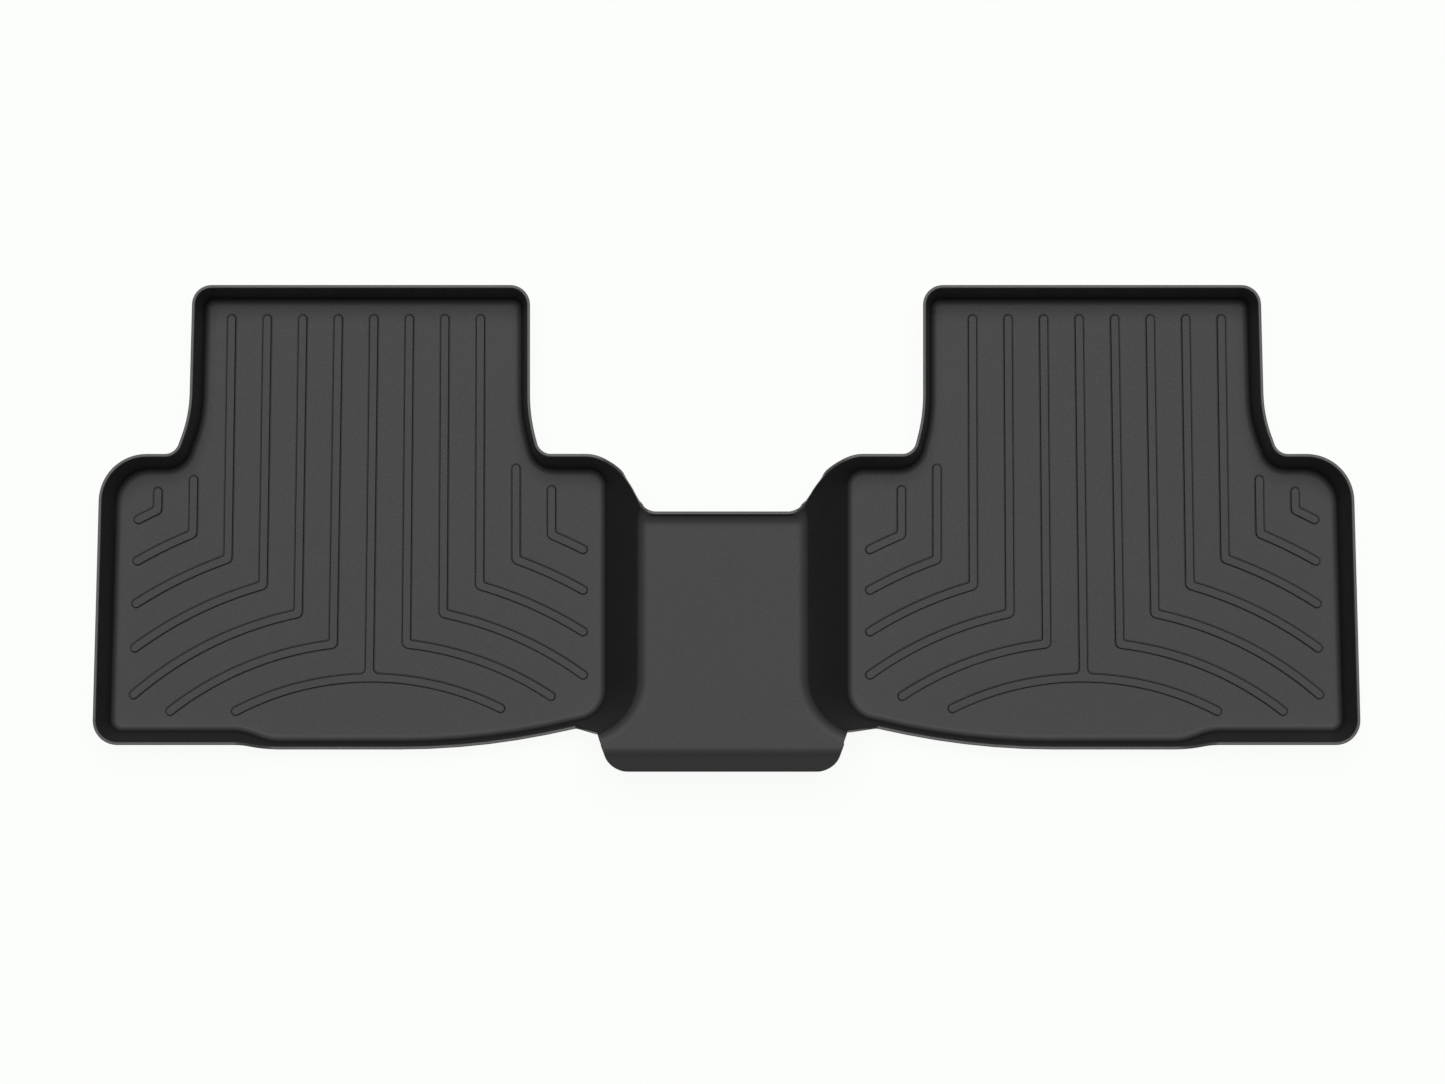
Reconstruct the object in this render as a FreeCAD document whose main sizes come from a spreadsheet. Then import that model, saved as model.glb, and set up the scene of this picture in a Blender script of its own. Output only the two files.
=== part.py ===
import FreeCAD, Part
import math
import os

V = FreeCAD.Vector
LEFT, RIGHT = -1, 1

# Every driving size, in millimetres or degrees.  X runs across the vehicle, Y towards
# its front, Z up from the carpet.  Positions are distances from the liner's centre, at
# the level of the tray floors' upper face; lean is a wall's slope away from upright.
SIZES = [
    ("skin_thickness", 0.9, "top wear layer"),
    ("core_thickness", 2.0, "stiff core"),
    ("backing_thickness", 0.7, "grip backing"),
    ("floor_fillet", 8.0, "radius between the floor's upper face and a wall"),

    ("front_wall_y", 245.0, "front wall"),
    ("shoulder_y", 62.2, "walls where a tray narrows towards the front"),
    ("entry_wall_y", -228.9, "low rear wall that feet pass over"),
    ("rear_outer_y", -217.2, "rear wall at the tray's outer end"),
    ("tunnel_foot_x", 131.7, "foot of the wall that climbs the tunnel"),
    ("neck_inner_x", 220.2, "narrow part's wall on the tunnel side"),
    ("neck_outer_x", 559.0, "narrow part's wall on the door side, at the front"),
    ("outer_wall_x", 661.8, "door-side wall, at the rear"),
    ("step_inner_x", 490.0, "inner end of the step in the rear wall"),
    ("step_outer_x", 522.0, "outer end of the step in the rear wall"),
    ("sweep_x", 255.6, "where the rear wall turns towards the tunnel"),
    ("flare_y", 118.0, "where the narrow part begins to widen"),

    ("neck_splay", 1.5, "angle of the narrow part's door-side wall"),
    ("outer_splay", 1.56, "angle of the door-side wall"),
    ("flare_inner_angle", 14.5, "angle of the flare on the tunnel side"),
    ("flare_outer_angle", 20.0, "angle of the flare on the door side"),
    ("sweep_angle", 13.6, "angle of the rear wall next to the tunnel"),

    ("front_lean", 0.204, "slope of the front wall"),
    ("neck_lean", 0.143, "slope of the narrow part's walls"),
    ("shoulder_lean", 0.258, "slope of the shoulder walls"),
    ("tunnel_lean", 0.44, "slope of the walls that climb the tunnel"),
    ("entry_lean", 0.18, "slope of the low rear wall"),
    ("rear_lean", 0.218, "slope of the rear wall at the outer end"),
    ("outer_lean", 0.214, "slope of the door-side wall"),

    ("front_corner", 9.0, "radius of the front corners"),
    ("flare_corner", 28.0, "radius where a flare meets a shoulder"),
    ("flare_bend_inner", 190.0, "radius of the flare on the tunnel side"),
    ("flare_bend_outer", 155.0, "radius of the flare on the door side"),
    ("tunnel_front_corner", 16.0, "radius at the front of the tunnel wall"),
    ("tunnel_rear_corner", 32.0, "radius at the rear of the tunnel wall"),
    ("sweep_bend", 791.0, "radius of the swept rear wall"),
    ("step_bend", 60.0, "radius of the step's two bends"),
    ("step_crest", 20.0, "radius at the top of the step in the rim"),
    ("rear_corner", 12.0, "radius of the rear outer corner"),
    ("outer_corner", 36.0, "radius of the door-side shoulder corner"),

    ("bridge_rise", 100.0, "bridge's upper face above the tray floors"),
    ("bridge_front_y", 11.7, "foot of the bridge's front lip"),
    ("bridge_shift", -4.5, "the bridge's centre, off the centre of the trays"),
    ("lip_rise", 7.0, "front lip above the bridge"),
    ("lip_lean", 0.26, "slope of the front lip"),
    ("lip_fillet", 4.0, "radius at the foot of the front lip"),
    ("flange_bend_y", -238.2, "bend of the bridge's rear flange"),
    ("flange_angle", 42.0, "how far the rear flange turns down"),
    ("flange_bend", 14.0, "radius of that bend"),
    ("flange_edge_y", -258.9, "rear edge of the flange"),
    ("apron_half_width", 126.0, "half the width of the rear flange"),
    ("apron_flare", 5.0, "how much wider the flange is on each side at its root"),
    ("apron_root_y", -222.0, "where the flange's sides leave the trays"),
    ("apron_corner", 25.0, "radius of the flange's corners"),

    ("rim_height", 54.0, "trimmed rim above the carpet"),
    ("entry_rim_height", 31.0, "trimmed rim of the low rear wall"),
    ("climb_start_y", 72.5, "where the front rim starts up towards the bridge"),
    ("climb_slope", 1.04, "steepness of that climb"),
    ("rear_climb_foot_x", 162.0, "where the rear rim starts up towards the bridge"),
    ("rear_climb_top_x", 132.0, "where it reaches the bridge"),
    ("rear_climb_bend", 20.0, "radius at the foot of that climb"),
    ("rear_trim_y", -190.0, "the rear rim's trim starts behind this line"),

    ("rib_width", 9.5, "width of a raised bar"),
    ("rib_rise", 2.0, "height of a raised bar"),
    ("rib_pitch", 38.2, "spacing of the bars across a tray"),
    ("rib_first_x", 188.1, "bar nearest the tunnel"),
    ("rib_front_y", 224.5, "front ends of the long bars"),
    ("rib_setback_first", 183.9, "the first bar starts this far behind the long ones"),
    ("rib_setback_second", 160.8, "the second bar does"),
    ("rib_setback_eleventh", 172.9, "the eleventh bar does"),
    ("rib_setback_last", 185.6, "the bar nearest the door does"),
    ("rib_fan", 0.9, "greatest tilt of a bar, in degrees"),
    ("rib_arc_x", 382.4, "centre of the curved bars"),
    ("rib_arc_y", -473.6, "centre of the curved bars"),
    ("rib_arc_radius", 312.3, "smallest curved bar"),
    ("rib_arc_step", 38.5, "spacing of the curved bars"),
    ("rib_margin_tunnel", 22.5, "curved bars' ends to the tunnel wall"),
    ("rib_margin_door", 29.2, "curved bars' ends to the door-side wall"),
    ("rib_margin_rear", 20.0, "curved bars' ends to the rear outer wall"),
    ("rib_margin_sweep", 30.8, "curved bars' ends to the swept rear wall"),
]


def new_sheet(doc):
    """The spreadsheet of driving sizes: note in column A, aliased value in column B."""
    sheet = doc.addObject("Spreadsheet::Sheet", "sizes")
    for row, (alias, value, note) in enumerate(SIZES, 1):
        sheet.set(f"A{row}", note)
        sheet.set(f"B{row}", str(value))
        sheet.setAlias(f"B{row}", alias)
    doc.recompute()
    return sheet


doc = FreeCAD.newDocument("floor_liner")
sheet = new_sheet(doc)


def size(alias):
    """A driving size, read from the sheet."""
    return float(sheet.get(alias))


THICKNESS = size("skin_thickness") + size("core_thickness") + size("backing_thickness")
THICKNESS_CELLS = "sizes.skin_thickness + sizes.core_thickness + sizes.backing_thickness"
BRIDGE_TOP = THICKNESS + size("bridge_rise")
LIP_TOP = BRIDGE_TOP + size("lip_rise")
LIP_TOP_CELLS = f"{THICKNESS_CELLS} + sizes.bridge_rise + sizes.lip_rise"

# The four faces between and around the plies, counted down from the upper face: how far
# below the upper face each lies, as a number and as an expression on the sheet, and how
# much narrower than the upper face's the pressed-in bars are there.
PLY_ALIASES = ("skin_thickness", "core_thickness", "backing_thickness")
FACE_OFFSETS = [sum(size(a) for a in PLY_ALIASES[:n]) for n in range(4)]
FACE_CELLS = [" + ".join(["0"] + [f"sizes.{a}" for a in PLY_ALIASES[:n]]) for n in range(4)]


# How far round the rounded foot of a wall each level of the loft lies, in degrees.
FOOT_TURNS = (0, 30, 57, 80)
# How far the bridge's profile runs on past the foot of each tunnel wall, inside a tray.
BRIDGE_REACH = 30
BRIDGE_REACH_CELLS = f"sizes.tunnel_foot_x + {BRIDGE_REACH}"
# How far a trimming tool runs on past the sheet.
TRIM_REACH = 10
# How deep a bar's solid reaches down into the sheet, so that nothing is left between.
RIB_ROOT = 0.5


def direction(angle):
    """Unit vector in plan at this angle in degrees."""
    turn = math.radians(angle)
    return V(math.cos(turn), math.sin(turn), 0)


def crossing(first, second):
    """Where two lines, each a (point, direction), cross in plan."""
    (p, a), (q, b) = first, second
    gap = q - p
    along = (gap.x * b.y - gap.y * b.x) / (a.x * b.y - a.y * b.x)
    return p + a * along


def rounded(corners, radii):
    """Closed outline: straight lines between corners, each rounded by its radius."""
    starts, ends, arcs = [], [], []
    for n, (corner, radius) in enumerate(zip(corners, radii)):
        before = (corners[n - 1] - corner).normalize()
        after = (corners[(n + 1) % len(corners)] - corner).normalize()
        inwards = (before + after).normalize()
        half = before.getAngle(after) / 2
        starts.append(corner + before * (radius / math.tan(half)))
        ends.append(corner + after * (radius / math.tan(half)))
        middle = corner + inwards * (radius / math.sin(half) - radius)
        arcs.append([Part.Arc(starts[n], middle, ends[n])] if radius > 0 else [])
    curves = []
    for n, arc in enumerate(arcs):
        curves += arc + [Part.LineSegment(ends[n], starts[(n + 1) % len(arcs)])]
    return curves


def tray_walls(side):
    """A tray's walls in order round it, as (point, angle of travel, lean), in a plan
    where x is the distance from the vehicle's centre plane, whichever the side."""
    front = size("front_wall_y")
    shoulder = size("shoulder_y")
    entry = size("entry_wall_y")
    rear = size("rear_outer_y")
    neck_inner = size("neck_inner_x")
    neck_outer = size("neck_outer_x")
    outer = size("outer_wall_x")
    step_in = size("step_inner_x")
    step_out = size("step_outer_x")
    flare = size("flare_y")
    splay = size("neck_splay")
    widening = (front - flare) * math.tan(math.radians(splay))
    tunnel_lean = size("tunnel_lean") + side * -size("bridge_shift") / size("bridge_rise")
    step_angle = math.degrees(math.atan2(rear - entry, step_out - step_in))
    return [
        (V(neck_inner, front, 0), 180, size("front_lean")),
        (V(neck_inner, front, 0), 270, size("neck_lean")),
        (V(neck_inner, flare, 0), 270 - size("flare_inner_angle"), size("neck_lean")),
        (V(neck_inner, shoulder, 0), 180, size("shoulder_lean")),
        (V(size("tunnel_foot_x"), 0, 0), 270, tunnel_lean),
        (V(size("sweep_x"), entry, 0), -size("sweep_angle"), size("entry_lean")),
        (V(step_in, entry, 0), 0, size("entry_lean")),
        (V(step_in, entry, 0), step_angle, size("entry_lean")),
        (V(outer, rear, 0), 0, size("rear_lean")),
        (V(outer, rear, 0), 90 + size("outer_splay"), size("outer_lean")),
        (V(outer, shoulder, 0), 180, size("shoulder_lean")),
        (V(neck_outer + widening, flare, 0), 90 + size("flare_outer_angle"),
         size("neck_lean")),
        (V(neck_outer, front, 0), 90 + splay, size("neck_lean")),
    ]


def tray_corners():
    """Radius at each wall's end, and what it gains per millimetre of height.  Where the
    tray's corner points inwards the gain is negative, for height and for depth."""
    return [
        (size("front_corner"), 0.17),
        (size("flare_bend_inner"), -0.14),
        (size("flare_corner"), -0.18),
        (size("tunnel_front_corner"), 0.45),
        (size("tunnel_rear_corner"), 0.32),
        (size("sweep_bend"), 0.18),
        (size("step_bend"), 0.18),
        (size("step_bend"), -0.18),
        (size("rear_corner"), 0.21),
        (size("outer_corner"), 0.23),
        (size("flare_corner"), -0.18),
        (size("flare_bend_outer"), -0.14),
        (size("front_corner"), 0.17),
    ]


def wall_shift(lean, rise, fillet):
    """How far out a wall lies from its sharp foot at this rise above the floor, where
    an arc of radius fillet joins the floor to the wall."""
    tilt = math.atan(lean)
    if rise >= fillet * (1 - math.sin(tilt)):
        return lean * rise
    centre = -fillet * math.tan(math.pi / 4 - tilt / 2)
    return centre + math.sqrt(fillet ** 2 - (fillet - rise) ** 2)


def tray_outline(side, offset, rise):
    """Plan outline of a tray on the face that lies offset below the upper face, at a
    rise above that face's own floor."""
    fillet = size("floor_fillet") + offset
    lines, eased = [], []
    for point, angle, lean in tray_walls(side):
        outwards = direction(angle - 90)
        foot = offset * (math.hypot(1, lean) - lean)
        shift = foot + wall_shift(lean, rise, fillet)
        lines.append((point + outwards * shift, direction(angle)))
        eased.append(wall_shift(lean, rise, fillet) - lean * rise)
    corners, radii = [], []
    for n, (radius, gain) in enumerate(tray_corners()):
        following = (n + 1) % len(lines)
        corner = crossing(lines[n], lines[following])
        corners.append(V(side * corner.x, corner.y, 0))
        growth = offset + (eased[n] + eased[following]) / 2
        radii.append(radius + gain * (rise - offset) + math.copysign(1, gain) * growth)
    return rounded(corners, radii)


def plane_of(body, role):
    """One of a body's own origin planes."""
    return [f for f in body.Origin.OriginFeatures if f.Role == role][0]


def add_sketch(body, name, role, curves):
    """A sketch with these curves on one of the body's origin planes."""
    sketch = body.newObject("Sketcher::SketchObject", name)
    sketch.AttachmentSupport = (plane_of(body, role), [""])
    sketch.MapMode = "FlatFace"
    sketch.addGeometry(curves, False)
    return sketch


def tray_space(side, face):
    """The space over one tray, down to one face of the sheet: a ruled loft up through
    the outlines at the rounded foot of the walls to the outline at the lip's height."""
    hand = "left" if side == LEFT else "right"
    offset = FACE_OFFSETS[face]
    fillet = size("floor_fillet") + offset
    body = doc.addObject("PartDesign::Body", f"{hand}_space_{face}")
    rises = [fillet * (1 - math.cos(math.radians(turn))) for turn in FOOT_TURNS]
    sketches = []
    for n, rise in enumerate(rises):
        turn = FOOT_TURNS[n]
        sketch = add_sketch(body, f"{hand}_foot_{face}_{n}", "XY_Plane",
                            tray_outline(side, offset, rise))
        sketch.setExpression("AttachmentOffset.Base.z",
                             f"{THICKNESS_CELLS} - ({FACE_CELLS[face]})"
                             f" + (sizes.floor_fillet + {FACE_CELLS[face]})"
                             f" * (1 - cos({turn} deg))")
        sketches.append(sketch)
    brim = add_sketch(body, f"{hand}_brim_{face}", "XY_Plane",
                      tray_outline(side, offset, LIP_TOP - THICKNESS + offset))
    brim.setExpression("AttachmentOffset.Base.z", LIP_TOP_CELLS)
    loft = body.newObject("PartDesign::AdditiveLoft", f"{hand}_loft_{face}")
    loft.Profile = sketches[0]
    loft.Sections = sketches[1:] + [brim]
    loft.Ruled = True
    return body


# How a sketch's own axes lie in a plane across the vehicle, and in one along it.
UPRIGHT_ACROSS = FreeCAD.Rotation(V(1, 0, 0), V(0, 0, 1), V(0, -1, 0))
UPRIGHT_ALONG = FreeCAD.Rotation(V(0, 1, 0), V(0, 0, 1), V(1, 0, 0))


def free_sketch(name, curves, turn=FreeCAD.Rotation()):
    """A sketch outside any body, its plane turned about the origin."""
    sketch = doc.addObject("Sketcher::SketchObject", name)
    sketch.addGeometry(curves, False)
    sketch.Placement = FreeCAD.Placement(V(), turn)
    return sketch


def extruded(name, base, forwards, backwards="0"):
    """A solid drawn out of a flat shape along its normal, by two expressions."""
    solid = doc.addObject("Part::Extrusion", name)
    solid.Base = base
    solid.DirMode = "Normal"
    solid.Solid = True
    solid.setExpression("LengthFwd", forwards)
    solid.setExpression("LengthRev", backwards)
    return solid


def bridge_space(face):
    """The space over the bridge down to one face of the sheet: front lip, flat top and
    turned-down rear flange in one profile, drawn out to reach into both trays."""
    offset = FACE_OFFSETS[face]
    lean = size("lip_lean")
    flange = math.radians(size("flange_angle"))
    top = BRIDGE_TOP - offset
    front = size("bridge_front_y") + offset * math.hypot(1, lean)
    bend = size("flange_bend_y") + offset * math.tan(flange / 2)
    back = size("flange_edge_y") - TRIM_REACH
    drop = (bend - back) * math.tan(flange)
    corners = [
        V(front + lean * size("lip_rise"), LIP_TOP, 0),
        V(front - lean * offset, top, 0),
        V(bend, top, 0),
        V(back, top - drop, 0),
        V(back, LIP_TOP, 0),
    ]
    radii = [0, size("lip_fillet") + offset, size("flange_bend") - offset, 0, 0]
    profile = free_sketch(f"bridge_profile_{face}", rounded(corners, radii), UPRIGHT_ALONG)
    return extruded(f"bridge_space_{face}", profile, BRIDGE_REACH_CELLS, BRIDGE_REACH_CELLS)


# The straight bars of a tray, counted from the tunnel to the door: how far behind the
# front ends of the long ones each starts.  The middle one runs into the smallest ring.
RIB_SETBACKS = ("rib_setback_first", "rib_setback_second", None, None, None, None, None,
                None, None, None, "rib_setback_eleventh", "rib_setback_last")
RIB_MIDDLE = 5
RIBS_TO_FULL_FAN = 6


def rib_line(column):
    """One straight bar's centre line in a tray, as (front end, direction)."""
    spread = size("rib_fan") * min(1, max(0, column - 1) / (RIBS_TO_FULL_FAN - 1))
    x = size("rib_first_x") + column * size("rib_pitch")
    setback = size(RIB_SETBACKS[column]) if RIB_SETBACKS[column] else 0
    along = direction(spread - 90)
    return V(x, size("rib_front_y"), 0) + along * setback, along


def on_arc(radius, point, along):
    """Where a line meets the circle of this radius about the centre of the curved bars,
    first from the front and last as it leaves, or None where it passes clear of it."""
    centre = V(size("rib_arc_x"), size("rib_arc_y"), 0)
    nearest = point + along * (centre - point).dot(along)
    square = radius ** 2 - (nearest - centre).Length ** 2
    if square <= 0:
        return None
    half_chord = along * math.sqrt(square)
    return nearest - half_chord, nearest + half_chord


def arc_end(radius, outwards):
    """Where a curved bar stops: short of the side wall or of the rear wall, whichever it
    comes to first.  outwards is True for the end towards the door."""
    if outwards:
        side = V(size("outer_wall_x") - size("rib_margin_door"), 0, 0)
        rear = V(side.x, size("rear_outer_y") + size("rib_margin_rear"), 0)
        lines = (side, direction(90 + size("outer_splay"))), (rear, direction(0))
    else:
        side = V(size("tunnel_foot_x") + size("rib_margin_tunnel"), 0, 0)
        margin = size("rib_margin_sweep") / math.cos(math.radians(size("sweep_angle")))
        rear = V(size("sweep_x"), size("entry_wall_y") + margin, 0)
        lines = (side, direction(90)), (rear, direction(180 - size("sweep_angle")))
    met = [on_arc(radius, point, along) for point, along in lines]
    return max((spots[1] for spots in met if spots), key=lambda spot: spot.y)


def rib_lines(side):
    """Centre lines of a tray's bars.  Each straight bar turns into the curved bar of its
    ring.  The middle one turns towards the door, and its ring's other half, towards the
    tunnel, is returned apart."""
    centre = V(size("rib_arc_x"), size("rib_arc_y"), 0)
    flip = FreeCAD.Matrix()
    flip.scale(side, 1, 1)

    def curved(radius, knee, end):
        middle = centre + (knee + end - centre * 2).normalize() * radius
        return Part.Arc(*[flip.multVec(point) for point in (knee, middle, end)])

    chevrons = []
    for column in range(len(RIB_SETBACKS)):
        start, along = rib_line(column)
        radius = size("rib_arc_radius") + abs(column - RIB_MIDDLE) * size("rib_arc_step")
        knee = on_arc(radius, start, along)[0]
        chevrons.append(Part.LineSegment(flip.multVec(start), flip.multVec(knee)))
        chevrons.append(curved(radius, knee, arc_end(radius, column >= RIB_MIDDLE)))
        if column == RIB_MIDDLE:
            branch = [curved(radius, knee, arc_end(radius, False))]
    return chevrons, branch


def rib_solids(side, face):
    """The bars of one tray as solids that stand on one face of the sheet: each is its
    centre line widened to both sides, with round ends."""
    hand = "left" if side == LEFT else "right"
    solids = []
    for kind, curves in zip(("bars", "branch"), rib_lines(side)):
        name = f"{hand}_{kind}_{face}"
        line = free_sketch(f"{name}_line", curves)
        line.setExpression("Placement.Base.z",
                           f"{THICKNESS_CELLS} - ({FACE_CELLS[face]}) - {RIB_ROOT}")
        outline = doc.addObject("Part::Offset2D", f"{name}_outline")
        outline.Source = line
        outline.Mode = "Pipe"
        outline.Join = "Arc"
        outline.setExpression("Value", f"sizes.rib_width / 2 - ({FACE_CELLS[face]})")
        solids.append(extruded(name, outline, f"sizes.rib_rise + {RIB_ROOT}"))
    return solids


def joined(name, shapes):
    """Several shapes fused into one."""
    fusion = doc.addObject("Part::MultiFuse", name)
    fusion.Shapes = shapes
    return fusion


def cut(name, base, tool):
    """One shape with another taken away."""
    result = doc.addObject("Part::Cut", name)
    result.Base = base
    result.Tool = tool
    return result


def face_space(face):
    """Everything above one face of the sheet."""
    spaces = [tray_space(LEFT, face), tray_space(RIGHT, face), bridge_space(face)]
    ribs = rib_solids(LEFT, face) + rib_solids(RIGHT, face)
    whole = joined(f"space_{face}", spaces)
    return cut(f"ribbed_space_{face}", whole, joined(f"ribs_{face}", ribs))


def side_trim(side, hand):
    """Clears everything above the rim of one tray, outwards from the tunnel."""
    box = doc.addObject("Part::Box", f"{hand}_side_trim")
    nearest = BRIDGE_REACH_CELLS if side == RIGHT else f"-({BRIDGE_REACH_CELLS} + sizes.outer_wall_x)"
    box.setExpression("Length", "sizes.outer_wall_x")
    box.setExpression("Width", "(sizes.front_wall_y - sizes.flange_edge_y) * 2")
    box.setExpression("Height", "sizes.bridge_rise + sizes.rim_height")
    box.setExpression("Placement.Base.x", nearest)
    box.setExpression("Placement.Base.y", "-Width / 2")
    box.setExpression("Placement.Base.z", "sizes.rim_height")
    return box


def rear_trim(side, hand):
    """Shapes one tray's rear rim: high at the door, stepped down where feet pass over,
    climbing to the bridge."""
    above = LIP_TOP + TRIM_REACH
    low = size("entry_rim_height")
    high = size("rim_height")
    far = size("outer_wall_x") + above
    top_x = size("rear_climb_top_x") + side * size("bridge_shift")
    bends = [
        (top_x, above, 0),
        (top_x, size("bridge_rise"), 0),
        (size("rear_climb_foot_x"), low, size("rear_climb_bend")),
        (size("step_inner_x"), low, size("step_bend")),
        (size("step_outer_x"), high, size("step_crest")),
        (far, high, 0),
        (far, above, 0),
    ]
    corners = [V(side * x, z, 0) for x, z, _ in bends]
    curves = rounded(corners, [radius for _, _, radius in bends])
    profile = free_sketch(f"{hand}_rear_profile", curves, UPRIGHT_ACROSS)
    return extruded(f"{hand}_rear_trim", profile, f"-sizes.flange_edge_y + {TRIM_REACH}",
                    "sizes.rear_trim_y")


def front_trim():
    """Shapes the rim next to the bridge at the front: level, then climbing to the lip."""
    above = LIP_TOP + TRIM_REACH
    level = size("rim_height")
    start = size("climb_start_y")
    end = start - (above - level) / size("climb_slope")
    beyond = size("front_wall_y") + above
    corners = [V(start, level, 0), V(beyond, level, 0), V(beyond, above, 0), V(end, above, 0)]
    profile = free_sketch("front_profile", rounded(corners, [0] * 4), UPRIGHT_ALONG)
    return extruded("front_trim", profile, BRIDGE_REACH_CELLS, BRIDGE_REACH_CELLS)


def apron_trim():
    """Cuts the rear flange to its outline: flared root, rounded rear corners.  The tool
    stands on a plane half way up the bridge, above the rims of the trays."""
    root = size("apron_root_y")
    edge = size("flange_edge_y")
    half = size("apron_half_width")
    wide = half + size("apron_flare")
    beyond = size("tunnel_foot_x") + BRIDGE_REACH + TRIM_REACH
    back = edge - TRIM_REACH * 2
    corner = size("apron_corner")
    bends = [
        (-beyond, root, 0), (-wide, root, 0), (-half, size("flange_bend_y"), 0),
        (-half, edge, corner), (half, edge, corner), (half, size("flange_bend_y"), 0),
        (wide, root, 0), (beyond, root, 0), (beyond, back, 0), (-beyond, back, 0),
    ]
    corners = [V(x + size("bridge_shift"), y, 0) for x, y, _ in bends]
    outline = free_sketch("apron_outline", rounded(corners, [radius for _, _, radius in bends]))
    outline.setExpression("Placement.Base.z", "sizes.bridge_rise / 2")
    return extruded("apron_trim", outline, "sizes.bridge_rise")


def rim_trim():
    """Everything that is trimmed off the formed sheet, as one tool."""
    tools = [front_trim(), apron_trim()]
    for side, hand in ((LEFT, "left"), (RIGHT, "right")):
        tools += [side_trim(side, hand), rear_trim(side, hand)]
    return joined("rim_trim", tools)


def ply(name, spaces, upper, trim):
    """One ply of the sheet: between two faces, trimmed to the rim."""
    formed = cut(f"{name}_formed", spaces[upper + 1], spaces[upper])
    return cut(name, formed, trim)


def build():
    """The three plies, each a solid of its own."""
    spaces = [face_space(face) for face in range(4)]
    trim = rim_trim()
    names = ("top_wear_layer", "core_sheet", "grip_backing")
    return [ply(name, spaces, upper, trim) for upper, name in enumerate(names)]


def check(plies):
    """Stops the script if anything in the document failed."""
    for item in doc.Objects:
        if "Invalid" in item.State or "Error" in item.State:
            raise RuntimeError(f"{item.Label} failed: {item.State}")
    for item in plies:
        if item.Shape.isNull() or not item.Shape.isValid():
            raise RuntimeError(f"{item.Label} has no valid shape")
        if len(item.Shape.Solids) != 1:
            raise RuntimeError(f"{item.Label} is {len(item.Shape.Solids)} solids")


plies = build()
doc.recompute()
check(plies)
os.makedirs("parts", exist_ok=True)
for item in plies:
    item.Shape.exportStep(f"parts/{item.Label}.step")
    box = item.Shape.BoundBox
    print(item.Label, f"{item.Shape.Volume:.0f} mm3", box)
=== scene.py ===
import math

import bpy
import numpy as np
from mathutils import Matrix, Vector
from mathutils.geometry import delaunay_2d_cdt, tessellate_polygon


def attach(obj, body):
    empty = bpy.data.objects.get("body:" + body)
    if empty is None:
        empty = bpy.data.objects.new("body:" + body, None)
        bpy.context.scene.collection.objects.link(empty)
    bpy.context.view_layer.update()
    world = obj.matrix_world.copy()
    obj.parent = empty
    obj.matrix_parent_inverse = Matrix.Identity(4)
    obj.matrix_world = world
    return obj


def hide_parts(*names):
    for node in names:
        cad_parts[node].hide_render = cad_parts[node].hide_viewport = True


bl_info = {
    "name": "Vehicle floor liner",
    "version": (1, 0, 0),
    "blender": (4, 5, 0),
    "location": "View3D > Sidebar > Liner",
    "description": "A second-row floor liner of three bonded plies, with its stage",
    "category": "Add Mesh",
}

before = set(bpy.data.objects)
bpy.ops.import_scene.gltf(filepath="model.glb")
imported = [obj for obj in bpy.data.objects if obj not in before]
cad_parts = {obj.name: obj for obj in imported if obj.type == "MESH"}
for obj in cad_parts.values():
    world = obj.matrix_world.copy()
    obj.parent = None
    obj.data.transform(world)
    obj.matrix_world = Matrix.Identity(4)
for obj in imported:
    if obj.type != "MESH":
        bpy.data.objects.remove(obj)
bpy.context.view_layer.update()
MM = 0.001
LEFT, RIGHT = -1, 1

# A tray's walls in order round it, in plan, where u is the distance from the centre
# plane: u and y of a point on the foot, angle of travel, slope away from upright, and
# the radius of the corner at the wall's end with what it gains per millimetre of rise.
WALLS = np.array([
    (220.2, 245.0, 180.0, 0.204, 9.0, 0.17),
    (220.2, 245.0, 270.0, 0.143, 190.0, -0.14),
    (220.2, 118.0, 255.5, 0.143, 28.0, -0.18),
    (220.2, 62.2, 180.0, 0.258, 16.0, 0.45),
    (131.7, 0.0, 270.0, 0.440, 32.0, 0.32),
    (255.6, -228.9, -13.6, 0.180, 791.0, 0.18),
    (490.0, -228.9, 0.0, 0.180, 60.0, 0.18),
    (490.0, -228.9, 20.1, 0.180, 60.0, -0.18),
    (661.8, -217.2, 0.0, 0.218, 12.0, 0.21),
    (661.8, -217.2, 91.56, 0.214, 36.0, 0.23),
    (661.8, 62.2, 180.0, 0.258, 28.0, -0.18),
    (562.33, 118.0, 110.0, 0.143, 155.0, -0.14),
    (559.0, 245.0, 91.5, 0.143, 9.0, 0.17),
])
FLANK = 4
# Columns drawn up each wall and round the corner at its end.
WALL_COLUMNS = (34, 12, 7, 8, 0, 14, 26, 8, 18, 34, 7, 9, 16)
CORNER_COLUMNS = (9, 8, 12, 18, 0, 6, 7, 7, 10, 16, 12, 8, 9)
# Rows up the rounded foot, as degrees turned, and up the wall, as shares of its height.
FOOT_TURNS = np.array([0, 12, 25, 38, 51, 64, 76, 83])
WALL_SHARES = np.array([0.18, 0.36, 0.54, 0.72, 0.87, 1.0])
# Rows of the bridge: up the lip, along the flank, round the rear corner, on the flange.
LIP_ROWS, FLANK_ROWS, REAR_ROWS = 12, 26, 18
FREE_FRONT, FREE_REAR = 14, 10
ROUND_COLUMNS, BRIDGE_COLUMNS = 10, 30
# How far the bridge's centre lies off the centre plane.
SHIFT = -4.5
# The front lip: its face's place, its full turn, the turn up to which the bend is wide, and
# the tighter radius beyond that.
LIP_Y, LIP_TURN, WIDE_TURN, TIGHT_BEND = 13.5, 82, 34, 5.0
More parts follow.
